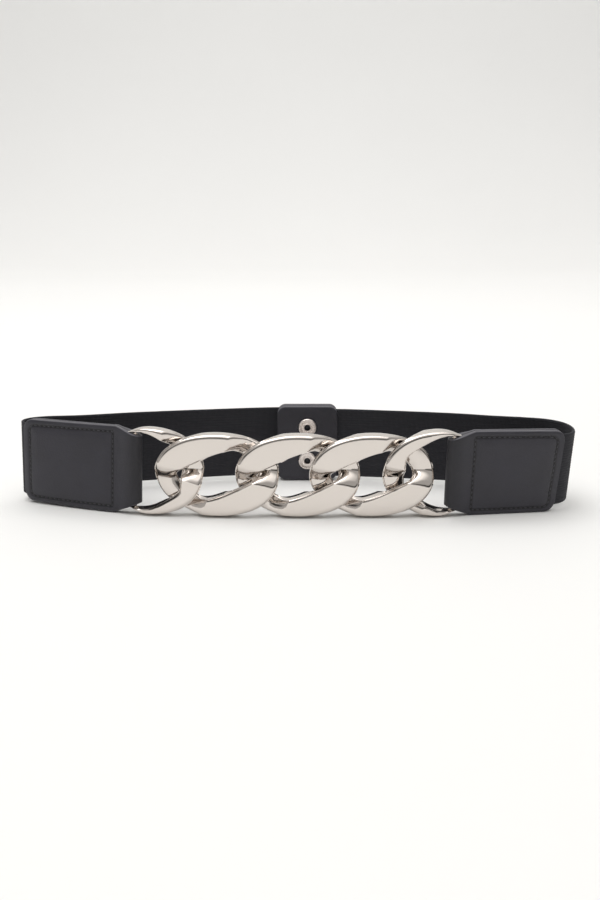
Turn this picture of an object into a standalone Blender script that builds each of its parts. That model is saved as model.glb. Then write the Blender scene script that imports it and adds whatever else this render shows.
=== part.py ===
# Elastic waist belt with a chain front, standing on its lower edge as a flattened loop.
# Five metal curb links at the front, a folded leather tab at each end of them,
# two lengths of elastic round the sides, and a leather closure with two snaps at the back.
# Metres, +Z up. The wearer's waist goes through the loop from above; the front faces -Y.
import math

import bmesh
import bpy
from mathutils import Matrix, Vector

for old in list(bpy.data.objects):
    bpy.data.objects.remove(old, do_unlink=True)

MM = 0.001

# Fit between two pieces that touch
FIT = 0.3 * MM

# Elastic
BAND_HEIGHT = 40.0 * MM
BAND_THICK = 1.5 * MM

# Whole loop, from the middle of the chain out to each side, and from front to back
REACH_LEFT = 146.4 * MM
REACH_RIGHT = 142.2 * MM
LOOP_DEPTH = 64.4 * MM

# Front tabs: one piece of leather folded round the end bar of the chain and over the elastic
LEATHER = 1.3 * MM
TAB_EDGE = 2.7 * MM
TAB_LENGTH_LEFT = 63.0 * MM
TAB_LENGTH_RIGHT = 55.0 * MM
TAB_CORNER = 4.2 * MM
TAB_LEAD = 10.0 * MM
FOLD_STEP = 5.2 * MM
LEATHER_ROUND = 0.4 * MM

# Closure at the back
PATCH_LENGTH = 34.0 * MM
PATCH_LEATHER = 1.1 * MM
PATCH_EDGE = 1.7 * MM
PATCH_CORNER = 4.6 * MM
PATCH_SHIFT = 4.2 * MM
PATCH_STITCH = 3.2 * MM

# Snaps: a ring on the inner face, a post through all layers, a plain cap outside
SNAP_SPACING = 19.6 * MM
SNAP_RING = 10.3 * MM
SNAP_RISE = 1.4 * MM
SNAP_BORE = 3.7 * MM
SNAP_POST = 5.2 * MM
SNAP_CAP = 12.0 * MM
SNAP_CAP_RISE = 1.8 * MM

# Curb links
LINK_LENGTH = 63.4 * MM
LINK_HEIGHT = 43.6 * MM
LINK_THICK = 8.8 * MM
LINK_END = 9.8 * MM
LINK_WAIST = 8.8 * MM
LINK_EDGE = 0.7 * MM
LINK_ROUND = 1.7 * MM
LINK_BULGE = 0.45 * MM
CROSSING = 0.5 * MM

# End links: the rounded end of a curb link on a straight round bar
END_REACH = 28.0 * MM
END_HEIGHT = 45.6 * MM
END_SHOULDER = 8.0 * MM
BAR = 4.6 * MM

# How far a link's face has sunk on its way behind the next link.
# turn: share of a quarter turn from the link's end; sunk: 0 at the face, 1 past the middle
SINKING = (
    (-0.08, 0.0),
    (-0.02, 0.10),
    (0.02, 0.36),
    (0.06, 0.80),
    (0.10, 1.0),
    (0.60, 1.0),
    (0.68, 0.80),
    (0.76, 0.46),
    (0.84, 0.16),
    (0.92, 0.0),
)
TURNS = (0.02, 0.06, 0.10, 0.19, 0.29, 0.40, 0.50, 0.60, 0.68, 0.76, 0.84, 0.92)

# Where each link stands. along: share of LINK_LENGTH from the middle; back: share of
# LINK_THICK behind the chain's face; then degrees of yaw, lean back and roll clockwise
LINKS = (
    # name, along, back, yaw, lean, roll
    ("link_left_end", -1.212, 1.04, -6.0, 3.0, 2.0),
    ("link_1", -0.666, 0.62, -3.0, 1.0, 0.3),
    ("link_2", -0.018, 0.50, 0.0, 0.0, 0.0),
    ("link_3", 0.573, 0.52, 0.4, -0.9, 0.0),
    ("link_right_end", 1.101, 0.56, 2.0, -2.3, 0.0),
)

# Middle line of each half of the belt, from its end bar round to the closure.
# out: share of the way from the bar to the loop's side; deep: share of LOOP_DEPTH;
# rise: height over the closure's middle, share of BAND_HEIGHT; slant across and back per height
LEFT_LINE = (
    # out, deep, rise, slantAcross, slantBack
    (0.20, 0.116, 0.022, 0.046, 0.082),
    (0.42, 0.172, 0.027, 0.052, 0.056),
    (0.66, 0.238, 0.034, 0.060, 0.018),
    (0.86, 0.296, 0.042, 0.066, -0.022),
    (0.950, 0.328, 0.044, 0.068, -0.036),
    (0.992, 0.365, 0.044, 0.066, -0.034),
    (1.0, 0.408, 0.043, 0.060, -0.020),
    (0.982, 0.452, 0.042, 0.054, 0.0),
    (0.940, 0.490, 0.040, 0.048, 0.014),
    (0.86, 0.530, 0.036, 0.042, 0.026),
    (0.66, 0.594, 0.030, 0.034, 0.034),
    (0.40, 0.668, 0.024, 0.024, 0.034),
    (0.10, 0.762, 0.016, 0.016, 0.026),
)
RIGHT_LINE = (
    (0.16, 0.005, 0.014, 0.006, -0.055),
    (0.40, 0.025, 0.014, 0.015, -0.080),
    (0.62, 0.045, 0.014, 0.026, -0.105),
    (0.80, 0.066, 0.014, 0.034, -0.130),
    (0.90, 0.106, 0.014, 0.030, -0.140),
    (0.965, 0.175, 0.014, 0.008, -0.140),
    (0.995, 0.262, 0.014, -0.008, -0.130),
    (1.0, 0.345, 0.012, -0.016, -0.115),
    (0.985, 0.425, 0.010, -0.010, -0.100),
    (0.940, 0.510, 0.008, 0.0, -0.090),
    (0.860, 0.580, 0.006, 0.0, -0.080),
    (0.71, 0.635, 0.004, 0.0, -0.070),
    (0.44, 0.702, 0.0, 0.0, -0.058),
    (0.12, 0.785, 0.0, 0.0, -0.040),
)

# Depth of the closure's two layers of elastic, the right-hand one inside
PATCH_THICK = 2 * PATCH_LEATHER + BAND_THICK + 2 * FIT
OUTER_DEEP = LOOP_DEPTH
INNER_DEEP = LOOP_DEPTH - PATCH_THICK - FIT
CLOSURE_HEIGHT = BAND_HEIGHT / 2 + PATCH_EDGE

# Outer radius of the leather round the bar
FOLD_EDGE = BAR / 2 + FIT + LEATHER


# Materials

def principled(name, colour, roughness, metallic):
    material = bpy.data.materials.new(name)
    material.use_nodes = True
    shader = material.node_tree.nodes["Principled BSDF"]
    shader.inputs["Base Color"].default_value = (*colour, 1.0)
    shader.inputs["Roughness"].default_value = roughness
    shader.inputs["Metallic"].default_value = metallic
    material.diffuse_color = (*colour, 1.0)
    return material


ELASTIC = principled("woven elastic", (0.025, 0.025, 0.027), 0.85, 0.0)
TAB_LEATHER = principled("black grained leather", (0.052, 0.050, 0.054), 0.55, 0.0)
NICKEL = principled("polished nickel", (0.72, 0.68, 0.62), 0.14, 1.0)
SNAP_METAL = principled("satin nickel", (0.66, 0.62, 0.59), 0.3, 1.0)


# Meshes

def make_object(name, bm, material, angle=35):
    bmesh.ops.recalc_face_normals(bm, faces=bm.faces)
    mesh = bpy.data.meshes.new(name)
    bm.to_mesh(mesh)
    bm.free()
    mesh.materials.append(material)
    mesh.shade_smooth()
    mesh.set_sharp_from_angle(angle=math.radians(angle))
    obj = bpy.data.objects.new(name, mesh)
    bpy.context.scene.collection.objects.link(obj)
    return obj


def make_cutter(name, bm):
    cutter = make_object(name, bm, ELASTIC)
    cutter.hide_render = True
    cutter.display_type = "WIRE"
    return cutter


def cut(obj, cutter):
    modifier = obj.modifiers.new(cutter.name, "BOOLEAN")
    modifier.operation = "DIFFERENCE"
    modifier.solver = "EXACT"
    modifier.object = cutter


def loft(rings, closed=False):
    """Skin a list of rings of points; the two ends are capped unless the loft is closed."""
    bm = bmesh.new()
    made = [[bm.verts.new(point) for point in ring] for ring in rings]
    count = len(made)
    for i in range(count if closed else count - 1):
        here, there = made[i], made[(i + 1) % count]
        for j in range(len(here)):
            k = (j + 1) % len(here)
            bm.faces.new((here[j], here[k], there[k], there[j]))
    if not closed:
        bm.faces.new(made[0])
        bm.faces.new(made[-1])
    return bm


def between(rows, at):
    """Value of a two-column table at a place, on straight lines between its rows."""
    if at <= rows[0][0]:
        return rows[0][1]
    for (a, va), (b, vb) in zip(rows, rows[1:]):
        if at <= b:
            return va + (vb - va) * (at - a) / (b - a)
    return rows[-1][1]


# Links

def reach_inside(angle, sides, sharp):
    """Distance from the centre to a rounded polygon's edge; sides are (normal angle, distance)."""
    total = sum(max(0.0, math.cos(angle - turn) / far) ** sharp for turn, far in sides)
    return total ** (-1.0 / sharp)


def reach_outside(angle, half_long, half_high):
    power = 2.12
    across = (abs(math.cos(angle)) / half_long) ** power
    upward = (abs(math.sin(angle)) / half_high) ** power
    return (across + upward) ** (-1.0 / power)


def sunk(angle):
    """How far the front face has sunk at an angle round the link, 0 to 1."""
    turn = math.degrees(angle) % 180.0 / 90.0
    if turn <= 1.0:
        return between(SINKING, turn)
    return between(SINKING, turn - 2.0)


def link_ring(angle, inner, outer, half):
    """One cross-section, from the hole's wall out, between the front and back faces."""
    front = -half + sunk(angle) * (half + CROSSING)
    back = half - sunk(-angle) * (half + CROSSING)
    room = (outer - LINK_BULGE - inner) / 3
    soft_front = min(room, LINK_EDGE + (LINK_ROUND - LINK_EDGE) * sunk(angle))
    soft_back = min(room, LINK_EDGE + (LINK_ROUND - LINK_EDGE) * sunk(-angle))
    middle = (front + back) / 2
    outline = []
    for wall, toward, bulge in ((outer - LINK_BULGE, -1.0, LINK_BULGE), (inner, 1.0, 0.0)):
        near = [(wall + toward * soft_front, front),
                (wall + toward * 0.29 * soft_front, front + 0.29 * soft_front),
                (wall, front + soft_front)]
        far = [(wall, back - soft_back),
               (wall + toward * 0.29 * soft_back, back - 0.29 * soft_back),
               (wall + toward * soft_back, back)]
        run = near + [(wall + bulge, middle)] + far
        outline += run if toward < 0 else run[::-1]
    return [Vector((r * math.cos(angle), y, r * math.sin(angle))) for r, y in outline]


def curb_link(name):
    half_long, half_high = LINK_LENGTH / 2, LINK_HEIGHT / 2
    hole_long, hole_high = half_long - LINK_END, half_high - LINK_WAIST
    slope = 0.83 * hole_high / hole_long
    lean = math.atan2(1.0, slope)
    sides = [(turn + side, hole_high * math.sin(lean)) for side in (0.0, math.pi)
             for turn in (lean, math.pi - lean)]
    sides += [(0.0, hole_long), (math.pi, hole_long)]
    rings = []
    for quarter in range(4):
        shares = TURNS if quarter % 2 == 0 else [1.0 - turn for turn in reversed(TURNS)]
        for share in shares:
            angle = (quarter + share) * math.pi / 2
            rings.append(link_ring(angle, reach_inside(angle, sides, 9),
                                   reach_outside(angle, half_long, half_high), LINK_THICK / 2))
    return make_object(name, loft(rings, closed=True), NICKEL)


def end_link(name):
    """Rounded end towards +X; the bar stands END_SHOULDER to the -X side of its centre."""
    half_high = END_HEIGHT / 2
    hole_long = END_REACH - LINK_END
    hole_high = BAND_HEIGHT / 2 + TAB_EDGE - FOLD_STEP * TAB_LEAD / (TAB_LEAD + FOLD_EDGE) + 2 * FIT
    shoulder = math.radians(58.0)
    sides = [(0.0, hole_long), (math.pi / 2, hole_high), (-math.pi / 2, hole_high),
             (shoulder, 0.86 * hole_high), (-shoulder, 0.86 * hole_high)]
    tip_high = (half_high + hole_high) / 2
    last = math.atan2(tip_high, -END_SHOULDER - 0.3 * BAR)
    share_end = last / (math.pi / 2)
    shares = list(TURNS) + [1.0, 1.06, 1.12, 1.18, 1.23, share_end]
    shares = [-share for share in reversed(shares)] + shares
    rings = []
    for share in shares:
        angle = share * math.pi / 2
        narrow = max(0.0, abs(share) - 0.95) / (share_end - 0.95)
        half = LINK_THICK / 2 * (1.0 - 0.42 * narrow ** 1.6)
        inner = reach_inside(angle, sides, 14)
        outer = reach_outside(angle, END_REACH, half_high)
        rings.append(link_ring(angle, inner, outer - 0.5 * (outer - inner) * narrow ** 2.2, half))
    arch = make_object(name, loft(rings), NICKEL)
    rod = [circle_ring(Vector((-END_SHOULDER, 0, z)), Vector((1, 0, 0)), Vector((0, 1, 0)), r, 20)
           for z, r in bar_profile(hole_high + 0.25 * (half_high - hole_high))]
    bar = make_cutter(name + "_bar", loft(rod))
    joined = arch.modifiers.new("bar", "BOOLEAN")
    joined.operation = "UNION"
    joined.solver = "MANIFOLD"
    joined.object = bar
    return arch, bar


def bar_profile(top):
    rows = [(-top, BAR / 2 - 0.6 * MM), (-top + 0.6 * MM, BAR / 2)]
    return rows + [(top - 0.6 * MM, BAR / 2), (top, BAR / 2 - 0.6 * MM)]


def circle_ring(centre, side, up, radius, count):
    turns = (2 * math.pi * i / count for i in range(count))
    return [centre + side * (radius * math.cos(t)) + up * (radius * math.sin(t)) for t in turns]


def link_place(row):
    """World placement of a link; the two end links turn their rounded ends inward."""
    name, along, back, yaw, lean, roll = row
    height = END_HEIGHT if name.endswith("end") else LINK_HEIGHT
    place = Vector((along * LINK_LENGTH, (back - 0.5) * LINK_THICK - 0.03 * LOOP_DEPTH, height / 2))
    turn = (Matrix.Rotation(math.radians(yaw), 4, "Z") @ Matrix.Rotation(math.radians(-lean), 4, "X")
            @ Matrix.Rotation(math.radians(roll), 4, "Y"))
    return Matrix.Translation(place) @ turn


# Lines that the elastic and the leather follow

class Line:
    """A standing strip's middle line: a smooth curve with its own up direction all along."""

    def __init__(self, points, ups, outward):
        self.outward = outward
        self.points, self.ups = [], []
        padded = [points[0] * 2 - points[1]] + points + [points[-1] * 2 - points[-2]]
        raised = [ups[0]] + ups + [ups[-1]]
        steps = 14
        for i in range(1, len(padded) - 2):
            p0, p1, p2, p3 = padded[i - 1:i + 3]
            k0, k1, k2 = ((p1 - p0).length ** 0.5, (p2 - p1).length ** 0.5, (p3 - p2).length ** 0.5)
            m1 = (p1 - p0) / k0 - (p2 - p0) / (k0 + k1) + (p2 - p1) / k1
            m2 = (p2 - p1) / k1 - (p3 - p1) / (k1 + k2) + (p3 - p2) / k2
            m1, m2 = m1 * k1, m2 * k1
            for step in range(steps):
                t = step / steps
                a, b = 2 * t ** 3 - 3 * t ** 2 + 1, t ** 3 - 2 * t ** 2 + t
                c, d = -2 * t ** 3 + 3 * t ** 2, t ** 3 - t ** 2
                self.points.append(p1 * a + m1 * b + p2 * c + m2 * d)
                self.ups.append(raised[i].lerp(raised[i + 1], t))
        self.points.append(points[-1].copy())
        self.ups.append(ups[-1].copy())
        self.far = [0.0]
        for a, b in zip(self.points, self.points[1:]):
            self.far.append(self.far[-1] + (b - a).length)
        self.length = self.far[-1]

    def frame(self, at):
        """Point, direction, up and outward directions at a distance along the line."""
        last = len(self.far) - 2
        i = 0
        while i < last and self.far[i + 1] < at:
            i += 1
        share = (at - self.far[i]) / (self.far[i + 1] - self.far[i])
        point = self.points[i] + (self.points[i + 1] - self.points[i]) * share
        before = self.points[max(i - 1, 0)], self.points[max(i - 1, 0) + 1]
        after = self.points[min(i + 1, last)], self.points[min(i + 1, last) + 1]
        blend = min(1.0, max(0.0, share))
        ahead = (after[1] - after[0]).normalized() * blend + (before[1] - before[0]).normalized() * (1 - blend)
        ahead = (ahead + (self.points[i + 1] - self.points[i]).normalized()).normalized()
        up = self.ups[i].lerp(self.ups[i + 1], blend).normalized()
        out = ahead.cross(up).normalized() * self.outward
        return point, ahead, up, out

    def place(self, at, high, out):
        point, _, up, outward = self.frame(at)
        return point + up * high + outward * out

    def stops(self, start, end, turn=5.0, step=13.0 * MM):
        """Distances from start to end, closer together where the line bends."""
        found = [start]
        aim = self.frame(start)[1]
        for at in self.far:
            if not start < at < end - 0.8 * MM:
                continue
            ahead = self.frame(at)[1]
            if math.degrees(aim.angle(ahead)) > turn or at - found[-1] > step:
                found.append(at)
                aim = ahead
        return found + [end]


def half_line(rows, bar, bar_up, side, reach, deep):
    """Line from the bar's middle, round the side, to the closure; the last piece is straight."""
    middle = CLOSURE_HEIGHT
    points, ups = [bar.copy()], [bar_up.copy()]
    for out, back, rise, slant_across, slant_back in rows:
        across = bar.x + out * (side * reach - bar.x)
        points.append(Vector((across, back * LOOP_DEPTH, middle + rise * BAND_HEIGHT)))
        ups.append(Vector((slant_across, slant_back, 1.0)).normalized())
    near = PATCH_SHIFT + side * (PATCH_LENGTH / 2 + 3 * MM)
    tip = PATCH_SHIFT - side * (PATCH_LENGTH / 2 - PATCH_STITCH)
    for across in (near, PATCH_SHIFT + side * PATCH_LENGTH / 3, PATCH_SHIFT, tip):
        points.append(Vector((across, deep, middle)))
        ups.append(Vector((0, 0, 1)))
    return Line(points, ups, side)


def strip_ring(line, at, half_thick, half_high, soft, centre=0.0):
    """Cross-section of a standing strip with softened corners."""
    corners = []
    for out, high in ((1, 1), (1, -1), (-1, -1), (-1, 1)):
        first = (out * (half_thick - soft), high * half_high)
        second = (out * half_thick, high * (half_high - soft))
        corners += [first, second] if out == high else [second, first]
    return [line.place(at, high, centre + out) for out, high in corners]


def rounded_end(distance, radius):
    """Drop of a rounded corner's edge at a distance from the end."""
    if distance >= radius:
        return 0.0
    return radius - math.sqrt(max(0.0, radius ** 2 - (radius - distance) ** 2))


CORNER_STEPS = (0.0, 0.05, 0.18, 0.38, 0.65, 1.0)


# Placing the chain

places = {row[0]: link_place(row) for row in LINKS}
bars = {}
for name, sign in (("link_left_end", -1), ("link_right_end", 1)):
    placed = places[name]
    bars[name] = (placed @ Vector((sign * END_SHOULDER, 0, 0)),
                  (placed.to_3x3() @ Vector((0, 0, 1))).normalized())

links = {}
for row in LINKS:
    name = row[0]
    if name.endswith("end"):
        links[name], bar = end_link(name)
        facing = Matrix.Identity(4) if name == "link_left_end" else Matrix.Rotation(math.pi, 4, "Y")
        links[name].matrix_world = places[name] @ facing
        bar.matrix_world = places[name] @ facing
    else:
        links[name] = curb_link(name)
        links[name].matrix_world = places[name]

left = half_line(LEFT_LINE, *bars["link_left_end"], -1, REACH_LEFT, OUTER_DEEP)
right = half_line(RIGHT_LINE, *bars["link_right_end"], 1, REACH_RIGHT, INNER_DEEP)


# Elastic

def elastic(name, line):
    start = FOLD_EDGE + FIT + TAB_LEAD * 0.35
    rings = [strip_ring(line, at, BAND_THICK / 2, BAND_HEIGHT / 2, 0.3 * MM)
             for at in line.stops(start, line.length)]
    return make_object(name, loft(rings), ELASTIC, 50)


# Front tabs

def front_tab(name, line, length):
    half_high = BAND_HEIGHT / 2 + TAB_EDGE
    half_thick = BAND_THICK / 2 + FIT + LEATHER
    fold = FOLD_EDGE
    shoulder = TAB_LEAD + fold

    def high_at(at):
        return half_high - FOLD_STEP * max(0.0, TAB_LEAD - at) / shoulder

    rings = []
    for turn in (8, 25, 45, 68, 90):
        at = -fold * math.cos(math.radians(turn))
        rings.append((at, fold * math.sin(math.radians(turn)), high_at(at)))
    for share in (0.2, 0.4, 0.6, 0.8, 1.0):
        ease = 3 * share ** 2 - 2 * share ** 3
        rings.append((share * TAB_LEAD, fold + (half_thick - fold) * ease, high_at(share * TAB_LEAD)))
    for at in line.stops(TAB_LEAD + 2 * MM, length - TAB_CORNER - 0.5 * MM):
        rings.append((at, half_thick, half_high))
    for share in reversed(CORNER_STEPS):
        away = share * TAB_CORNER
        rings.append((length - away, half_thick, half_high - rounded_end(away, TAB_CORNER)))
    body = [strip_ring(line, at, thick, high, min(LEATHER_ROUND, thick * 0.4)) for at, thick, high in rings]
    tab = make_object(name, loft(body), TAB_LEATHER)
    pocket = [strip_ring(line, at, BAND_THICK / 2 + FIT, BAND_HEIGHT / 2 + FIT, 0.1 * MM)
              for at in line.stops(fold + TAB_LEAD * 0.35, length + 4 * MM)]
    cut(tab, make_cutter(name + "_pocket", loft(pocket)))
    point, ahead, up, out = line.frame(0.0)
    tunnel = [circle_ring(point + up * z, ahead, up.cross(ahead), BAR / 2 + FIT, 20)
              for z in (-1.2 * half_high, 1.2 * half_high)]
    cut(tab, make_cutter(name + "_tunnel", loft(tunnel)))
    return tab


# Closure

def closure_tab(name, line, side):
    """Leather over the end of one half, open towards its elastic, rounded at the corners."""
    end = line.length + PATCH_STITCH
    start = end - PATCH_LENGTH
    half_high = BAND_HEIGHT / 2 + PATCH_EDGE
    stops = [(start + share * PATCH_CORNER, share * PATCH_CORNER) for share in CORNER_STEPS]
    stops += [(end - share * PATCH_CORNER, share * PATCH_CORNER) for share in reversed(CORNER_STEPS)]
    rings = [strip_ring(line, at, PATCH_THICK / 2, half_high - rounded_end(away, PATCH_CORNER), LEATHER_ROUND)
             for at, away in stops]
    tab = make_object(name, loft(rings), TAB_LEATHER)
    pocket = [strip_ring(line, at, BAND_THICK / 2 + FIT, BAND_HEIGHT / 2 + FIT, 0.1 * MM)
              for at in (start - 4 * MM, line.length + FIT)]
    cut(tab, make_cutter(name + "_pocket", loft(pocket)))
    return tab


def snap(name, high):
    """Turned about an axis along Y; the ring faces the inside of the loop."""
    face = INNER_DEEP - PATCH_THICK / 2 - FIT
    rear = OUTER_DEEP + PATCH_THICK / 2 + FIT
    ring, bore, post, cap = SNAP_RING / 2, SNAP_BORE / 2, SNAP_POST / 2, SNAP_CAP / 2
    top = face - SNAP_RISE
    profile = (
        (bore, face + 2.2 * MM),
        (bore, top + 0.5 * SNAP_RISE),
        (bore + 0.25 * (ring - bore), top),
        (bore + 0.72 * (ring - bore), top + 0.08 * SNAP_RISE),
        (ring - 0.08 * ring, top + 0.38 * SNAP_RISE),
        (ring, top + 0.75 * SNAP_RISE),
        (ring, face),
        (post, face),
        (post, rear),
        (cap, rear),
        (cap, rear + 0.3 * SNAP_CAP_RISE),
        (cap * 0.9, rear + 0.62 * SNAP_CAP_RISE),
        (cap * 0.6, rear + 0.9 * SNAP_CAP_RISE),
        (cap * 0.2, rear + SNAP_CAP_RISE),
    )
    rings = [circle_ring(Vector((PATCH_SHIFT, deep, CLOSURE_HEIGHT + high)), Vector((1, 0, 0)),
                         Vector((0, 0, 1)), radius, 28) for radius, deep in profile]
    return make_object(name, loft(rings), SNAP_METAL)


def post_hole(name, high):
    spots = (INNER_DEEP - PATCH_THICK, OUTER_DEEP + PATCH_THICK)
    rings = [circle_ring(Vector((PATCH_SHIFT, deep, CLOSURE_HEIGHT + high)), Vector((1, 0, 0)),
                         Vector((0, 0, 1)), SNAP_POST / 2 + FIT, 28) for deep in spots]
    return make_cutter(name, loft(rings))


elastic_left = elastic("elastic_left", left)
elastic_right = elastic("elastic_right", right)
tab_left = front_tab("tab_left", left, TAB_LENGTH_LEFT)
tab_right = front_tab("tab_right", right, TAB_LENGTH_RIGHT)
back_inner = closure_tab("back_tab_inner", right, 1)
back_outer = closure_tab("back_tab_outer", left, -1)
snaps = []
for name, high in (("snap_upper", SNAP_SPACING / 2), ("snap_lower", -SNAP_SPACING / 2)):
    snaps.append(snap(name, high))
    hole = post_hole(name + "_hole", high)
    for layer in (elastic_left, elastic_right, back_inner, back_outer):
        cut(layer, hole)


# Everything hangs on one empty, moved so the loop stands with its footprint's middle at the origin

root = bpy.data.objects.new("belt", None)
bpy.context.scene.collection.objects.link(root)
bpy.context.view_layer.update()
low = Vector((1, 1, 1)) * 1e9
high = -low
for obj in bpy.data.objects:
    if obj.type == "MESH" and not obj.hide_render:
        for vertex in obj.data.vertices:
            spot = obj.matrix_world @ vertex.co
            low = Vector(map(min, low, spot))
            high = Vector(map(max, high, spot))
for obj in bpy.data.objects:
    if obj.type == "MESH":
        obj.parent = root
root.location = (-(low.x + high.x) / 2, -(low.y + high.y) / 2, -low.z)
bpy.context.view_layer.update()
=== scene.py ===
# Elastic waist belt with a curb chain front, standing on its lower edge on a pale floor.
# Lengths are in millimetres and turned to metres where a mesh is made. Only the room and the
# lamps are given in metres.
import math

import bpy
from mathutils import Matrix, Vector, noise


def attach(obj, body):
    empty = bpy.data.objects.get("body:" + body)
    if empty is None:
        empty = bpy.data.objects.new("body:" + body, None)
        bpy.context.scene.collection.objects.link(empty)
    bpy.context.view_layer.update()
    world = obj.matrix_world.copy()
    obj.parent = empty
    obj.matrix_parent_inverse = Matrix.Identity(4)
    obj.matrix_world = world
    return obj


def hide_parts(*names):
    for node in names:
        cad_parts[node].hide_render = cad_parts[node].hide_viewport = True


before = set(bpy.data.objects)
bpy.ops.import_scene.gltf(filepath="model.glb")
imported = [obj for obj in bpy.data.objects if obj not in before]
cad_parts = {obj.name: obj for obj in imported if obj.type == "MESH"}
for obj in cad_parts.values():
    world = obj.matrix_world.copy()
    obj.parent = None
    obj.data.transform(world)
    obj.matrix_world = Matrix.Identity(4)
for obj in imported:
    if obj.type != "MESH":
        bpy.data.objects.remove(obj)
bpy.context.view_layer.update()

mm = 0.001
placeOfBelt = Vector((2.559178, -30.773807, 0.545703))  # moves the belt's own layout into the frame

belt = {
    "bandHigh": 40.0, "bandThick": 1.5,
    "reachLeft": 146.4, "reachRight": 142.2,  # from the middle to each side of the loop
    "deep": 64.4,       # from the chain to the closure
    "chainOut": 0.03,   # share of deep by which the chain lies further forward
    "fit": 0.3,         # air between pieces that touch
    "bar": 4.6,         # diameter of the end links' bars
    "leather": 1.3,     # one layer of a tab
    "tabEdge": 2.7,     # how far a tab stands past the band
    "tabStep": 5.2,     # how much narrower a tab is at its fold
    "tabLead": 10.0,    # length over which it gets there
}
foldEdge = belt["bar"] / 2 + belt["fit"] + belt["leather"]
tabHalfHigh = belt["bandHigh"] / 2 + belt["tabEdge"]


# Small tools

def srgb(code):
    parts = [int(code[i:i + 2], 16) / 255 for i in (1, 3, 5)]
    return [p / 12.92 if p <= 0.04045 else ((p + 0.055) / 1.055) ** 2.4 for p in parts] + [1.0]


def addNode(tree, kind, inputs=None, **settings):
    node = tree.nodes.new(kind)
    for key, value in settings.items():
        setattr(node, key, value)
    for key, value in (inputs or {}).items():
        if isinstance(value, bpy.types.NodeSocket):
            tree.links.new(value, node.inputs[key])
        else:
            node.inputs[key].default_value = value
    return node


def newMaterial(name):
    material = bpy.data.materials.new(name)
    material.use_nodes = True
    return material, material.node_tree, material.node_tree.nodes["Principled BSDF"]


def between(rows, at):
    if at <= rows[0][0]:
        return rows[0][1]
    for (a, va), (b, vb) in zip(rows, rows[1:]):
        if at <= b:
            return va + (vb - va) * (at - a) / (b - a)
    return rows[-1][1]


def smooth(low, high, x):
    t = min(1.0, max(0.0, (x - low) / (high - low)))
    return t * t * (3 - 2 * t)


def bell(x, middle, width):
    return math.exp(-((x - middle) / width) ** 2)


def makePiece(name, verts, faces, material, uvs=None, paintedLightAndTarnish=None, angle=40):
    mesh = bpy.data.meshes.new(name)
    mesh.from_pydata([v * mm for v in verts], [], faces)
    mesh.materials.append(material)
    if uvs:
        layer = mesh.uv_layers.new(name="strip")  # millimetres along and up the strip
        for loop in mesh.loops:
            layer.data[loop.index].uv = uvs[loop.vertex_index]
    # vertex values that paint light and shade on the leather and tarnish in the snaps' bores
    if paintedLightAndTarnish:
        paintedTone = mesh.attributes.new("paintedLightAndTarnish", "FLOAT", "POINT")
        paintedTone.data.foreach_set("value", paintedLightAndTarnish)
    mesh.shade_smooth()
    mesh.set_sharp_from_angle(angle=math.radians(angle))
    piece = bpy.data.objects.new(name, mesh)
    bpy.context.scene.collection.objects.link(piece)
    return piece


def tube(rings, aroundTrip=False):
    # quads between rings of equal count; the ends are capped unless the rings make a round trip
    count, size = len(rings), len(rings[0])
    verts = [point for ring in rings for point in ring]
    faces = []
    for i in range(count if aroundTrip else count - 1):
        here, there = i * size, (i + 1) % count * size
        for j in range(size):
            k = (j + 1) % size
            faces.append((here + j, here + k, there + k, there + j))
    if not aroundTrip:
        faces.append(tuple(reversed(range(size))))
        faces.append(tuple(range((count - 1) * size, count * size)))
    return verts, faces


def place(points):
    return [point + placeOfBelt for point in points]


def ringOf(centre, side, up, radius, count):
    turns = (2 * math.pi * i / count for i in range(count))
    return [centre + side * (radius * math.cos(t)) + up * (radius * math.sin(t)) for t in turns]


# Materials

def makeNickel():
    # Cast zinc alloy links, ground flat, barrel-polished and plated with bright nickel:
    # a slightly warm mirror, with the faint unevenness that polishing leaves
    material, tree, shader = newMaterial("polishedNickelPlate")
    shader.inputs["Base Color"].default_value = srgb("#DBD4CE")
    shader.inputs["Metallic"].default_value = 1.0
    where = addNode(tree, "ShaderNodeTexCoord").outputs["Object"]
    haze = addNode(tree, "ShaderNodeTexNoise", {"Vector": where, "Scale": 90.0, "Detail": 4.0})  # 11 mm
    rough = addNode(tree, "ShaderNodeMapRange", {"Value": haze.outputs["Fac"], "From Min": 0.3,
                    "From Max": 0.7, "To Min": 0.07, "To Max": 0.13})
    swirl = addNode(tree, "ShaderNodeTexNoise", {"Vector": where, "Scale": 260.0, "Detail": 2.0})  # 4 mm
    bump = addNode(tree, "ShaderNodeBump", {"Height": swirl.outputs["Fac"], "Strength": 0.05,
                   "Distance": 0.0004})
    tree.links.new(rough.outputs["Result"], shader.inputs["Roughness"])
    tree.links.new(bump.outputs["Normal"], shader.inputs["Normal"])
    return material


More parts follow.
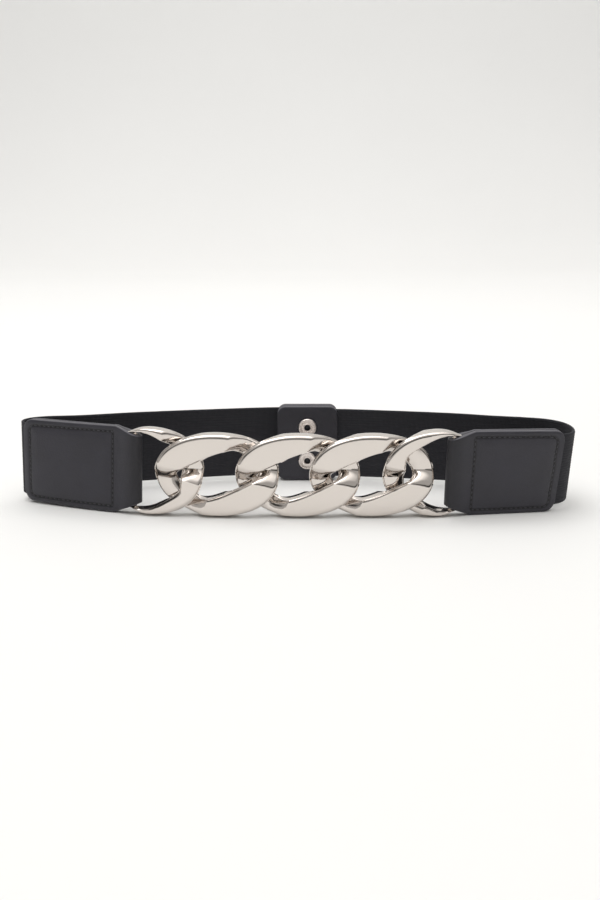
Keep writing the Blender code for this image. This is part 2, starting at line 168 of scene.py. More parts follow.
def makeSnapMetal():
    # Brass snap ring with satin nickel plating: soft grey-pink metal with a faint mottle
    material, tree, shader = newMaterial("satinNickelSnap")
    shader.inputs["Metallic"].default_value = 1.0
    where = addNode(tree, "ShaderNodeTexCoord").outputs["Object"]
    haze = addNode(tree, "ShaderNodeTexNoise", {"Vector": where, "Scale": 700.0, "Detail": 3.0})  # 1.4 mm
    plated = addNode(tree, "ShaderNodeMix", {0: haze.outputs["Fac"], 6: srgb("#DDD3CE"),
                     7: srgb("#F0E8E3")}, data_type="RGBA")
    tarnish = addNode(tree, "ShaderNodeAttribute", attribute_name="paintedLightAndTarnish").outputs["Fac"]
    tone = addNode(tree, "ShaderNodeMix", {0: tarnish, 6: plated.outputs[2], 7: srgb("#5E534B")},
                   data_type="RGBA")
    rough = addNode(tree, "ShaderNodeMapRange", {"Value": haze.outputs["Fac"], "From Min": 0.3,
                    "From Max": 0.7, "To Min": 0.24, "To Max": 0.38})
    bump = addNode(tree, "ShaderNodeBump", {"Height": haze.outputs["Fac"], "Strength": 0.12,
                   "Distance": 0.0001})
    tree.links.new(tone.outputs[2], shader.inputs["Base Color"])
    tree.links.new(rough.outputs["Result"], shader.inputs["Roughness"])
    tree.links.new(bump.outputs["Normal"], shader.inputs["Normal"])
    return material


def makeLeather():
    # Coated split leather, embossed with a fine pebble grain: satin, with a painted highlight on the cut
    # edges, painted shade along the stitches, in the seam between the layers and in the fold
    material, tree, shader = newMaterial("grainedLeather")
    shader.inputs["IOR"].default_value = 1.5
    shader.inputs["Specular IOR Level"].default_value = 0.45
    where = addNode(tree, "ShaderNodeTexCoord").outputs["Object"]
    pebble = addNode(tree, "ShaderNodeTexVoronoi", {"Vector": where, "Scale": 1250.0},
                     feature="F1")  # 0.8 mm
    cloud = addNode(tree, "ShaderNodeTexNoise", {"Vector": where, "Scale": 60.0, "Detail": 5.0})  # 17 mm
    fine = addNode(tree, "ShaderNodeTexNoise", {"Vector": where, "Scale": 2600.0, "Detail": 2.0})  # 0.4 mm
    paintedLightAndTarnish = addNode(tree, "ShaderNodeAttribute", attribute_name="paintedLightAndTarnish").outputs["Fac"]
    patchy = addNode(tree, "ShaderNodeMapRange", {"Value": cloud.outputs["Fac"], "From Min": 0.3,
                     "From Max": 0.7, "To Min": 0.15, "To Max": 0.85})
    tone = addNode(tree, "ShaderNodeMix", {0: patchy.outputs["Result"], 6: srgb("#29282F"),
                   7: srgb("#36353D")}, data_type="RGBA")
    # painted highlight: pale on the cut edges, where the values fall below 0
    edgeHighlight = addNode(tree, "ShaderNodeMath", {0: paintedLightAndTarnish, 1: -1.0}, operation="MULTIPLY", use_clamp=True)
    paintedTone = addNode(tree, "ShaderNodeMix", {0: edgeHighlight.outputs[0], 6: tone.outputs[2], 7: srgb("#6A6970")},
                   data_type="RGBA")
    # painted shade: dark along the stitches, in the seam between the layers and in the fold
    paintedShade = addNode(tree, "ShaderNodeMix", {0: paintedLightAndTarnish, 6: paintedTone.outputs[2], 7: srgb("#0B0B0C")},
                      data_type="RGBA")
    rough = addNode(tree, "ShaderNodeMapRange", {"Value": cloud.outputs["Fac"], "From Min": 0.3,
                    "From Max": 0.7, "To Min": 0.43, "To Max": 0.58})
    grain = addNode(tree, "ShaderNodeMath", {0: pebble.outputs["Distance"], 1: -0.8}, operation="MULTIPLY")
    height = addNode(tree, "ShaderNodeMath", {0: grain.outputs[0], 1: fine.outputs["Fac"]}, operation="ADD")
    bump = addNode(tree, "ShaderNodeBump", {"Height": height.outputs[0], "Strength": 0.5,
                   "Distance": 0.00016})
    tree.links.new(paintedShade.outputs[2], shader.inputs["Base Color"])
    tree.links.new(rough.outputs["Result"], shader.inputs["Roughness"])
    tree.links.new(bump.outputs["Normal"], shader.inputs["Normal"])
    return material


def makeElastic():
    # Polyester-covered rubber webbing: matte black, with cords along it and fine weft across them
    material, tree, shader = newMaterial("wovenElastic")
    shader.inputs["Specular IOR Level"].default_value = 0.22
    shader.inputs["Sheen Weight"].default_value = 0.05
    shader.inputs["Sheen Roughness"].default_value = 0.5
    strip = addNode(tree, "ShaderNodeUVMap", uv_map="strip").outputs["UV"]
    warp = addNode(tree, "ShaderNodeTexWave", {"Vector": strip, "Scale": 0.314 / 0.48, "Distortion": 0.6,
                   "Detail": 1.0}, wave_type="BANDS", bands_direction="Y")  # yarns 0.48 mm apart
    weft = addNode(tree, "ShaderNodeTexWave", {"Vector": strip, "Scale": 0.314 / 0.7, "Distortion": 0.5,
                   "Detail": 1.0}, wave_type="BANDS", bands_direction="X")  # weft 0.7 mm apart
    fuzz = addNode(tree, "ShaderNodeTexNoise", {"Vector": strip, "Scale": 3.0, "Detail": 3.0})  # 0.3 mm
    cloth = addNode(tree, "ShaderNodeMath", {0: warp.outputs["Fac"], 1: weft.outputs["Fac"]},
                    operation="MULTIPLY")
    mixed = addNode(tree, "ShaderNodeMath", {0: cloth.outputs[0], 1: fuzz.outputs["Fac"]},
                    operation="MULTIPLY")
    tone = addNode(tree, "ShaderNodeMix", {0: mixed.outputs[0], 6: srgb("#26262A"), 7: srgb("#56565C")},
                   data_type="RGBA")
    rough = addNode(tree, "ShaderNodeMapRange", {"Value": fuzz.outputs["Fac"], "To Min": 0.75,
                    "To Max": 0.95})
    bump = addNode(tree, "ShaderNodeBump", {"Height": cloth.outputs[0], "Strength": 0.5,
                   "Distance": 0.00015})
    tree.links.new(tone.outputs[2], shader.inputs["Base Color"])
    tree.links.new(rough.outputs["Result"], shader.inputs["Roughness"])
    tree.links.new(bump.outputs["Normal"], shader.inputs["Normal"])
    return material


def makeThread():
    # Bonded polyester sewing thread: slightly glossy black with a visible twist
    material, tree, shader = newMaterial("sewingThread")
    where = addNode(tree, "ShaderNodeTexCoord").outputs["Object"]
    twist = addNode(tree, "ShaderNodeTexWave", {"Vector": where, "Scale": 0.314 / 0.0004,
                    "Distortion": 1.0}, wave_type="BANDS", bands_direction="DIAGONAL")  # 0.4 mm
    tone = addNode(tree, "ShaderNodeMix", {0: twist.outputs["Fac"], 6: srgb("#26262A"),
                   7: srgb("#47464D")}, data_type="RGBA")
    rough = addNode(tree, "ShaderNodeMapRange", {"Value": twist.outputs["Fac"], "To Min": 0.42,
                    "To Max": 0.6})
    bump = addNode(tree, "ShaderNodeBump", {"Height": twist.outputs["Fac"], "Strength": 0.4,
                   "Distance": 0.0001})
    tree.links.new(tone.outputs[2], shader.inputs["Base Color"])
    tree.links.new(rough.outputs["Result"], shader.inputs["Roughness"])
    tree.links.new(bump.outputs["Normal"], shader.inputs["Normal"])
    return material


nickel = makeNickel()
snapMetal = makeSnapMetal()
leather = makeLeather()
elasticCloth = makeElastic()
thread = makeThread()
print("materials made")


# Curb links

link = {
    "long": 63.4, "high": 43.6, "thick": 8.8,
    "end": 9.8, "waist": 8.8,         # width of the metal at the ends and at top and bottom
    "outline": 2.12,                  # 2 is an ellipse, more is squarer
    "holeFlats": ((50, 16.2), (114, 10.0)),  # flats that skew the hole: degrees, mm from the middle
    "holeSharp": 9,                   # more gives the hole tighter corners
    "edgeOut": 1.6, "edgeIn": 1.3,    # bevel of a ground face at its outer and inner edge
    "round": 1.1,                     # the same at a sunk face
    "tilt": 28,                       # degrees that the outer bevel starts with on a ground face
    "outerDeep": 1.4,                 # and the most that it goes down
    "crownOut": 0.5, "crownIn": 1.2,  # how far a sunk face falls away to its outer and inner edge
    "bulge": 0.45,                    # rounding of the walls
    "crossing": 0.5,                  # how far a sunk face passes the link's middle
    "rings": 220,
    # how far the front face has sunk: share of a quarter turn from the link's end, then 0 to 1
    "sinking": ((-0.12, 0.0), (-0.07, 0.25), (-0.03, 0.52), (0.01, 0.80), (0.05, 1.0), (0.46, 1.0),
                (0.52, 0.91), (0.58, 0.72), (0.64, 0.50), (0.70, 0.28), (0.75, 0.09), (0.78, 0.0)),
    # a ground face's ends bulge by these degrees; each end's place and width in quarter turns
    "tongue": 2.0, "blunt": (-0.02, 0.13), "slim": (0.76, 0.12), "slimShare": 0.4,
    # inner edge of a ground face: share of edgeIn from the wall, and mm below the face
    "chamfer": ((1.0, 0.0), (0.45, 0.28), (0.18, 0.72), (0.04, 1.2), (0.0, 1.6)),
}
# name, along (share of length), back (share of thickness), yaw, lean back, roll clockwise
linkRows = (
    ("link_left_end", -1.212, 1.04, -6.0, 3.0, 2.0),
    ("link_1", -0.666, 0.62, -3.0, 1.0, 0.3),
    ("link_2", -0.018, 0.50, 0.0, 0.0, 0.0),
    ("link_3", 0.573, 0.52, 0.4, -0.9, 0.0),
    ("link_right_end", 1.101, 0.56, 2.0, -2.3, 0.0),
)
endLink = {
    "reach": 28.0, "high": 45.6, "end": 11.3,
    "shoulder": 8.0,                  # how far behind the middle the bar lies
    "holeRoom": 0.6,                  # between the hole and the tab's fold
    "holeFlat": 58.0, "holeFlatShare": 0.86,  # degrees, share of the hole's half height
    "holeSharp": 14,
    # the tips: where they start (radians), how much narrower and thinner they end, how late
    "tipFrom": 1.49, "tipNarrow": 0.8, "tipLate": 3.2, "tipThin": 0.6, "tipThinLate": 1.5,
    "tipPast": 0.8,                   # share of the bar's width that they run past its middle
    # the bar's ends: mm in from its end, radius
    "barEnds": ((0.0, 0.7), (1.0, 1.3), (2.6, 2.3)), "barRoom": 0.3,
    "rings": 151, "barSides": 32,
}


def reachInside(angle, sides, sharp):
    total = sum(max(0.0, math.cos(angle - turn) / far) ** sharp for turn, far in sides)
    return total ** (-1.0 / sharp)


def reachOutside(angle, halfLong, halfHigh):
    power = link["outline"]
    across = (abs(math.cos(angle)) / halfLong) ** power
    upward = (abs(math.sin(angle)) / halfHigh) ** power
    return (across + upward) ** (-1.0 / power)


def quarterTurns(angle):
    # from the link's nearer end, -1 to 1
    turn = math.degrees(angle) % 180.0 / 90.0
    return turn if turn <= 1.0 else turn - 2.0


def sunk(angle):
    return between(link["sinking"], quarterTurns(angle))


def tongue(angle, across):
    # ground faces end in rounded tongues, the blunt end full as far as the hole (across 0)
    turn = quarterTurns(angle)
    blunt = bell(turn, *link["blunt"]) * (1 - across ** 2)
    slim = bell(turn, *link["slim"]) * (1 - (2 * across - 1) ** 2)
    return math.radians(link["tongue"]) * (blunt - link["slimShare"] * slim)


def linkSection(angle, walls, half):
    # one cross-section: front face, outer wall, back face, inner wall
    inner, outer = walls(angle)
    third = (outer - 2 * link["bulge"] - inner) / 3
    rims = []  # side, height of the face, its outer and inner bevel, how far it is sunk
    for side in (-1.0, 1.0):
        down = sunk(-side * angle)
        face = half - down * (half + link["crossing"])
        softOut = min(third, link["edgeOut"] + (link["round"] - link["edgeOut"]) * down)
        softIn = min(third, link["edgeIn"] + (link["round"] - link["edgeIn"]) * down)
        rims.append((side, face, softOut, softIn, down))
    front, back = rims
    outerWall = outer - link["bulge"]

    def outerCorner(rim, leaving):
        # rounding from the face to the outer wall; it starts with a crisp tilt on a ground face
        side, face, softOut, _, down = rim
        tilt = math.radians(link["tilt"] * (1 - down))
        found = []
        for step in range(5):
            turn = tilt + (math.pi / 2 - tilt) * step / 4
            inward = (1 - math.sin(turn)) / (1 - math.sin(tilt))
            depth = (math.cos(tilt) - math.cos(turn)) / math.cos(tilt)
            level = face - link["crownOut"] * down - min(softOut, link["outerDeep"]) * depth
            found.append((outerWall - softOut * inward, side * level, angle))
        return found if leaving else found[::-1]

    def innerCorner(rim, leaving):
        # narrow ground chamfer, then a steep drop into the hole; rounded where the face is sunk
        side, face, _, softIn, down = rim
        there = angle - side * tongue(-side * angle, 0.0)
        wall = walls(there)[0] + link["bulge"]
        found = []
        for step, (inward, depth) in enumerate(link["chamfer"]):
            turn = math.pi / 2 * step / 4
            inward += (1 - math.sin(turn) - inward) * down
            depth += ((1 - math.cos(turn)) * softIn - depth) * down
            level = face - link["crownIn"] * down - depth
            found.append((wall + softIn * inward, side * level, there))
        return found if leaving else found[::-1]

    def flat(rim, outward):
        # across a ground or sunk face, shifted round the link so that its end line is a tongue
        side, face, softOut, softIn, down = rim
        found = []
        for step in range(1, 10):
            share = step / 10
            across = share if outward else 1 - share
            there = angle - side * tongue(-side * angle, across)
            low, high = walls(there)
            start, stop = low + link["bulge"] + softIn, high - link["bulge"] - softOut
            crown = link["crownOut" if across > 0.5 else "crownIn"]
            level = face - crown * down * (2 * across - 1) ** 2
            found.append((start + (stop - start) * across, side * level, there))
        return found

    def wallSpan(start, stop, bulge, shares):
        # down a wall from corner to corner, bulging between them
        found = []
        for share in shares:
            r, y, a = (p + (q - p) * share for p, q in zip(start, stop))
            found.append((r + bulge * (1 - (2 * share - 1) ** 2), y, a))
        return found

    points = flat(front, True) + outerCorner(front, True)
    behind = outerCorner(back, False)
    points += wallSpan(points[-1], behind[0], link["bulge"], (0.25, 0.5, 0.75))
    points += behind + flat(back, False) + innerCorner(back, True)
    before = innerCorner(front, False)
    points += wallSpan(points[-1], before[0], -link["bulge"], (0.2, 0.4, 0.6, 0.8)) + before
    return [Vector((r * math.cos(a), y, r * math.sin(a))) for r, y, a in points]


def curbLink():
    halfLong, halfHigh = link["long"] / 2, link["high"] / 2
    holeLong, holeHigh = halfLong - link["end"], halfHigh - link["waist"]
    # the hole is skewed: straight along each ground face, and widest beside it
    sides = [(math.radians(turn + half), far) for half in (0, 180)
             for turn, far in sorted(((0, holeLong), (90, holeHigh)) + link["holeFlats"])]

    def walls(angle):
        return reachInside(angle, sides, link["holeSharp"]), reachOutside(angle, halfLong, halfHigh)

    count = link["rings"]
    rings = [linkSection(2 * math.pi * i / count, walls, link["thick"] / 2) for i in range(count)]
    return tube(rings, aroundTrip=True)


def curbEnd():
    # the rounded end of a curb link, running out into two tips on a straight bar
    halfHigh, holeLong = endLink["high"] / 2, endLink["reach"] - endLink["end"]
    lead = belt["tabLead"]
    holeHigh = tabHalfHigh - belt["tabStep"] * lead / (lead + foldEdge) + endLink["holeRoom"]
    turn, share = math.radians(endLink["holeFlat"]), endLink["holeFlatShare"]
    sides = [(0.0, holeLong), (math.pi / 2, holeHigh), (-math.pi / 2, holeHigh),
             (turn, share * holeHigh), (-turn, share * holeHigh)]
    last = math.atan2((halfHigh + holeHigh) / 2, -endLink["shoulder"] - endLink["tipPast"] * belt["bar"])

    def alongTip(angle):
        return max(0.0, abs(angle) - endLink["tipFrom"]) / (last - endLink["tipFrom"])

    def walls(angle):
        inner = reachInside(angle, sides, endLink["holeSharp"])
        outer = reachOutside(angle, endLink["reach"], halfHigh)
        narrow = alongTip(angle) ** endLink["tipLate"]
        return inner, outer - endLink["tipNarrow"] * (outer - inner) * narrow

    rings = []
    for i in range(endLink["rings"]):
        angle = last * (2 * i / (endLink["rings"] - 1) - 1)
        thinner = endLink["tipThin"] * alongTip(angle) ** endLink["tipThinLate"]
        rings.append(linkSection(angle, walls, link["thick"] / 2 * (1 - thinner)))
    verts, faces = tube(rings)
    top = holeHigh + endLink["barRoom"]
    barRows = [(-top + away, radius) for away, radius in endLink["barEnds"]]
    barRows += [(-z, radius) for z, radius in reversed(barRows)]
    barVerts, barFaces = tube([ringOf(Vector((-endLink["shoulder"], 0, z)), Vector((1, 0, 0)),
                                      Vector((0, 1, 0)), radius, endLink["barSides"])
                               for z, radius in barRows])
    return verts + barVerts, faces + [tuple(k + len(verts) for k in face) for face in barFaces]


linkPlaces = {}
for name, along, back, yaw, lean, roll in linkRows:
    high = (endLink if name.endswith("end") else link)["high"]
    spot = Vector((along * link["long"], (back - 0.5) * link["thick"] - belt["chainOut"] * belt["deep"],
                   high / 2))
    turn = (Matrix.Rotation(math.radians(yaw), 4, "Z") @ Matrix.Rotation(math.radians(-lean), 4, "X")
            @ Matrix.Rotation(math.radians(roll), 4, "Y"))
    linkPlaces[name] = Matrix.Translation(spot) @ turn

for name, matrix in linkPlaces.items():
    verts, faces = curbEnd() if name.endswith("end") else curbLink()
    if name == "link_right_end":
        matrix = matrix @ Matrix.Rotation(math.pi, 4, "Y")
    piece = makePiece("chain_" + name, place([matrix @ v for v in verts]), faces, nickel, angle=24)
    flatter = piece.modifiers.new("flatFaces", "WEIGHTED_NORMAL")
    flatter.keep_sharp = True
    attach(piece, "root")
    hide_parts(name)
print("links made")


# Lines that the elastic and the leather follow

closure = {
    "long": 34.0, "leather": 1.1, "corner": 4.6,
    "edge": 1.7,        # how far it stands past the band
    "shift": 4.2,       # to the right of the belt's middle
    "stitch": 3.2,      # how far the leather runs past the elastic's end
    "straight": 3.0,    # the elastic is straight this far beside it
    "snapSpacing": 19.6,
}
closureThick = 2 * closure["leather"] + belt["bandThick"] + 2 * belt["fit"]
outerDeep = belt["deep"]
innerDeep = belt["deep"] - closureThick - belt["fit"]
closureMiddle = belt["bandHigh"] / 2 + closure["edge"]

# out: share of the way from the bar to the loop's side; back: share of the loop's depth;
# rise: height over the closure's middle, share of band height; slant across and back per height
leftRows = (
    (0.20, 0.116, 0.022, 0.046, 0.082),
    (0.42, 0.172, 0.027, 0.052, 0.056),
    (0.66, 0.238, 0.034, 0.060, 0.018),
    (0.86, 0.296, 0.042, 0.066, -0.022),
    (0.950, 0.328, 0.044, 0.068, -0.036),
    (0.992, 0.365, 0.044, 0.066, -0.034),
    (1.0, 0.408, 0.043, 0.060, -0.020),
    (0.982, 0.452, 0.042, 0.054, 0.0),
    (0.940, 0.490, 0.040, 0.048, 0.014),
    (0.86, 0.530, 0.036, 0.042, 0.026),
    (0.66, 0.594, 0.030, 0.034, 0.034),
    (0.40, 0.668, 0.024, 0.024, 0.034),
    (0.10, 0.762, 0.016, 0.016, 0.026),
)
rightRows = (
    (0.16, 0.005, 0.014, 0.006, -0.055),
    (0.40, 0.025, 0.014, 0.015, -0.080),
    (0.62, 0.045, 0.014, 0.026, -0.105),
    (0.80, 0.066, 0.014, 0.034, -0.130),
    (0.90, 0.106, 0.014, 0.030, -0.140),
    (0.965, 0.175, 0.014, 0.008, -0.140),
    (0.995, 0.262, 0.014, -0.008, -0.130),
    (1.0, 0.345, 0.012, -0.016, -0.115),
    (0.985, 0.425, 0.010, -0.010, -0.100),
    (0.940, 0.510, 0.008, 0.0, -0.090),
    (0.860, 0.580, 0.006, 0.0, -0.080),
    (0.71, 0.635, 0.004, 0.0, -0.070),
    (0.44, 0.702, 0.0, 0.0, -0.058),
    (0.12, 0.785, 0.0, 0.0, -0.040),
)


stepsPerSpan = 14


class BeltLine:
    # a smooth curve through the points, with an up direction all along

    def __init__(self, points, ups, outward):
        self.outward = outward
        self.points, self.ups = [], []
        padded = [points[0] * 2 - points[1]] + points + [points[-1] * 2 - points[-2]]
        raised = [ups[0]] + ups + [ups[-1]]
        for i in range(1, len(padded) - 2):
            p0, p1, p2, p3 = padded[i - 1:i + 3]
            k0, k1, k2 = ((p1 - p0).length ** 0.5, (p2 - p1).length ** 0.5, (p3 - p2).length ** 0.5)
            m1 = ((p1 - p0) / k0 - (p2 - p0) / (k0 + k1) + (p2 - p1) / k1) * k1
            m2 = ((p2 - p1) / k1 - (p3 - p1) / (k1 + k2) + (p3 - p2) / k2) * k1
            for step in range(stepsPerSpan):
                t = step / stepsPerSpan
                a, b = 2 * t ** 3 - 3 * t ** 2 + 1, t ** 3 - 2 * t ** 2 + t
                c, d = -2 * t ** 3 + 3 * t ** 2, t ** 3 - t ** 2
                self.points.append(p1 * a + m1 * b + p2 * c + m2 * d)
                self.ups.append(raised[i].lerp(raised[i + 1], t))
        self.points.append(points[-1].copy())
        self.ups.append(ups[-1].copy())
        self.far = [0.0]
        for a, b in zip(self.points, self.points[1:]):
            self.far.append(self.far[-1] + (b - a).length)
        self.length = self.far[-1]

    def frameAt(self, at):
        last = len(self.far) - 2
        i = 0
        while i < last and self.far[i + 1] < at:
            i += 1
        share = (at - self.far[i]) / (self.far[i + 1] - self.far[i])
        blend = min(1.0, max(0.0, share))
        point = self.points[i] + (self.points[i + 1] - self.points[i]) * share
        before = self.points[max(i - 1, 0) + 1] - self.points[max(i - 1, 0)]
        after = self.points[min(i + 1, last) + 1] - self.points[min(i + 1, last)]
        ahead = after.normalized() * blend + before.normalized() * (1 - blend)
        ahead = (ahead + (self.points[i + 1] - self.points[i]).normalized()).normalized()
        up = self.ups[i].lerp(self.ups[i + 1], blend).normalized()
        return point, up, ahead.cross(up).normalized() * self.outward


def halfLine(rows, bar, barUp, side, reach, deep):
    points, ups = [bar.copy()], [barUp.copy()]
    for out, back, rise, slantAcross, slantBack in rows:
        across = bar.x + out * (side * reach - bar.x)
        points.append(Vector((across, back * belt["deep"], closureMiddle + rise * belt["bandHigh"])))
        ups.append(Vector((slantAcross, slantBack, 1.0)).normalized())
    near = closure["shift"] + side * (closure["long"] / 2 + closure["straight"])
    tip = closure["shift"] - side * (closure["long"] / 2 - closure["stitch"])
    for across in (near, closure["shift"] + side * closure["long"] / 3, closure["shift"], tip):
        points.append(Vector((across, deep, closureMiddle)))
        ups.append(Vector((0, 0, 1)))
    return BeltLine(points, ups, side)


bars = {}
for name, sign in (("link_left_end", -1), ("link_right_end", 1)):
    matrix = linkPlaces[name]
    bars[name] = (matrix @ Vector((sign * endLink["shoulder"], 0, 0)),
                  (matrix.to_3x3() @ Vector((0, 0, 1))).normalized())
leftLine = halfLine(leftRows, *bars["link_left_end"], -1, belt["reachLeft"], outerDeep)
rightLine = halfLine(rightRows, *bars["link_right_end"], 1, belt["reachRight"], innerDeep)


def stripSection(line, at, profile):
    # profile: (high, out) pairs round one cross-section
    point, up, outward = line.frameAt(at)
    return [point + up * high + outward * out for high, out in profile]


# Elastic

elastic = {
    "cord": 1.45,       # rubber cords along the band, this far apart
    "cordRise": 0.2,    # how proud a cord stands
    "stepsPerCord": 4,
    "step": 1.7,        # spacing of the mesh along the band
    "hem": 0.4, "edge": 0.15,       # flat rim beside the cords, rounding of the cut edge
    "start": 0.35,      # share of the tab's lead where it begins
    # how far the left half stands out where it leaves its tab, and from where to where
    "bulge": 2.5, "rise": (60, 70), "fall": (76, 100),
}


def elasticStrip(name, line, start, bulge):
    half, high = belt["bandThick"] / 2, belt["bandHigh"] / 2
    corded = high - elastic["hem"]
    count = int((line.length - start) / elastic["step"])
    rows = round(2 * corded / elastic["cord"]) * elastic["stepsPerCord"]
    rings, uvs = [], []
    for i in range(count + 1):
        at = start + (line.length - start) * i / count
        stand = bulge * smooth(*elastic["rise"], at) * (1 - smooth(*elastic["fall"], at))
        profile = []
        for side in (1, -1):
            for row in range(rows + 1):
                wave = abs(math.sin(math.pi * row / elastic["stepsPerCord"]))
                up = side * corded * (1 - 2 * row / rows)
                profile.append((up, side * (half - elastic["cordRise"] * (1 - wave))))
            edge, thin = side * (elastic["edge"] - high), side * (half - elastic["cordRise"]) * 0.8
            profile += [(edge, thin), (side * -high, 0.0), (edge, -thin)]
        rings.append(stripSection(line, at, [(up, out + stand) for up, out in profile]))
        uvs += [(at, up) for up, _ in profile]
    verts, faces = tube(rings)
    return makePiece(name, place(verts), faces, elasticCloth, uvs=uvs, angle=80)


for name, line, node, bulge in (("band_left", leftLine, "elastic_left", elastic["bulge"]),
                                ("band_right", rightLine, "elastic_right", 0.0)):
    piece = elasticStrip(name, line, foldEdge + belt["fit"] + belt["tabLead"] * elastic["start"], bulge)
    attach(piece, "root")
    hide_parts(node)
print("elastic made")


# Leather, doubled over the elastic

leatherSheet = {
    "grid": 0.55, "rows": 80,            # spacing of the mesh along the leather, and its rows
    "round": 0.55,                       # rounding of the cut edges
    # groove between the two layers along the edges: depth, half width as a share of the thickness
    "seamDepth": 0.45, "seamShare": 0.22,
    "pad": 0.42, "padOver": -5.0,        # swell inside the stitches, full this far in
    "press": 0.5, "pressWide": 0.55,     # groove that the stitches press
    "drop": 0.25, "dropOver": 2.2,       # the sheet gets thinner this close to its edges
    "wander": 0.12, "wanderScale": 0.11,  # unevenness of the surface, waves about 9 mm long
    # width and strength of the painted shade along the stitches and in the fold, and where it fades from
    # the fold
    "lineWide": 0.65, "foldShade": 0.5, "foldOver": (-2.0, 7.0),
    # round a cut edge from face to face: painted highlight below 0, painted shade in the seam
    "edgeHighlightAndShade": [-0.35, -0.7, -0.3, 1.0, -0.3, -0.7, -0.35],
}
stitch = {
    "pitch": 2.6, "long": 1.6, "thick": 0.62, "sides": 8,
    "up": 0.12,                          # middle of the thread over the groove's floor
    "corner": 3.0, "square": 0.7,        # rounding of the route at its far and near corners
    # along a stitch: share of half its length, of its thickness, and of how far it stands out
    "shape": ((-1.0, 0.35, -0.45), (-0.78, 0.85, -0.05), (-0.35, 1.0, 0.12),
              (0.35, 1.0, 0.12), (0.78, 0.85, -0.05), (1.0, 0.35, -0.45)),
}


def roundedDrop(distance, radius):
    if distance >= radius:
        return 0.0
    return radius - math.sqrt(max(0.0, radius ** 2 - (radius - distance) ** 2))


def cornerRings(end, inward, thin, tall, corner):
    # rings of a rounded corner up to the leather's end
    rings = []
    for step in range(13):
        away = corner * (1 - math.sin(math.radians(7.5 * step)))
        rings.append((end + inward * away, thin, tall - roundedDrop(away, corner), 1.0))
    return rings


def stitchedBox(low, high, tall, corner, square):
    # signed distance to a rectangle of stitches, negative inside; only its far end is rounded
    middle, half = (low + high) / 2, (high - low) / 2

    def distance(at, up):
        bend = corner if at > middle else square
        dx, dy = abs(at - middle) - (half - bend), abs(up) - (tall - bend)
        return math.hypot(max(dx, 0), max(dy, 0)) + min(max(dx, dy), 0) - bend

    return distance


def stitchRoute(low, high, tall, corner, square, pitch):
    # points a stitch pitch apart round the rectangle
    outline = []
    for x, y, bend, start in ((high, tall, corner, 0), (low, tall, square, 90),
                              (low, -tall, square, 180), (high, -tall, corner, 270)):
        cx, cy = x + (bend if x == low else -bend), y + (bend if y < 0 else -bend)
        for step in range(7):
            turn = math.radians(start + 15 * step)
            outline.append((cx + bend * math.cos(turn), cy + bend * math.sin(turn)))
    outline.append(outline[0])
    lengths = [math.dist(a, b) for a, b in zip(outline, outline[1:])]
    count = round(sum(lengths) / pitch)
    found, walked, index = [], 0.0, 0
    for i in range(count):
        aim = sum(lengths) * i / count
        while walked + lengths[index] < aim:
            walked += lengths[index]
            index += 1
        share = (aim - walked) / lengths[index]
        a, b = outline[index], outline[index + 1]
        direction = ((b[0] - a[0]) / lengths[index], (b[1] - a[1]) / lengths[index])
        found.append((a[0] + (b[0] - a[0]) * share, a[1] + (b[1] - a[1]) * share, direction))
    return found


def leatherPiece(name, line, rings, box):
    # rings: (at, half thickness, half height, swell allowed 0 to 1)
    sheet, rows, scale = leatherSheet, leatherSheet["rows"], leatherSheet["wanderScale"]
    sections, paintedLightAndTarnish = [], []
    for at, thick, tall, free in rings:
        soft = min(sheet["round"], thick * 0.4)
        # painted shade in the fold round the bar, fading out along the tab
        paintedFoldShade = sheet["foldShade"] * (1 - smooth(*sheet["foldOver"], at))
        profile = []
        for side in (1, -1):
            for row in range(rows + 1):
                up = side * (tall - soft) * (1 - 2 * row / rows)
                far = box(at, up)
                swell = (sheet["pad"] * smooth(0.0, sheet["padOver"], far)
                         - sheet["press"] * bell(far, 0.0, sheet["pressWide"]))
                drop = sheet["drop"] * smooth(tall - sheet["dropOver"], tall, abs(up))
                wander = sheet["wander"] * noise.noise(Vector((at * scale, up * scale, side * 3.0)))
                profile.append((up, side * (thick + free * (swell - drop + wander))))
                # painted shade along the stitch line, plus the painted fold shade
                paintedLightAndTarnish.append(min(1.0, bell(far, 0.0, sheet["lineWide"]) + paintedFoldShade))
            edge, out = -side * tall, side * (thick - free * sheet["drop"])
            rim = [(edge + side * soft * 0.3, out - side * soft * 0.3), (edge, out - side * soft),
                   (edge, out * sheet["seamShare"])]
            profile += rim + [(edge + side * sheet["seamDepth"] * free, 0.0)]
            profile += [(high, -away) for high, away in reversed(rim)]
            # painted highlight on the cut edge and painted shade in the seam between the layers
            paintedLightAndTarnish += sheet["edgeHighlightAndShade"]
        sections.append(stripSection(line, at, profile))
    verts, faces = tube(sections)
    return makePiece(name, place(verts), faces, leather, paintedLightAndTarnish=paintedLightAndTarnish, angle=60)


def stitchPiece(name, line, route, depth):
    # short sunk threads on both faces, at a depth from the strip's middle
    verts, faces = [], []
    half, ahead = stitch["long"] / 2, 0.2
    for side in (1, -1):
        for at, up, (run, rise) in route:
            rings = []
            for share, size, lift in stitch["shape"]:
                a, b = at + run * share * half, up + rise * share * half
                point, upward, outward = line.frameAt(a)
                centre = point + upward * b + outward * side * (depth + lift * stitch["thick"])
                nextPoint, nextUp, _ = line.frameAt(a + run * ahead)
                along = (nextPoint + nextUp * (b + rise * ahead) - point - upward * b).normalized()
                rings.append(ringOf(centre, outward, along.cross(outward).normalized(),
                                    stitch["thick"] / 2 * size, stitch["sides"]))
            newVerts, newFaces = tube(rings)
            faces += [tuple(k + len(verts) for k in face) for face in newFaces]
            verts += newVerts
    return makePiece(name, place(verts), faces, thread, angle=60)


# Leather tabs round the end bars

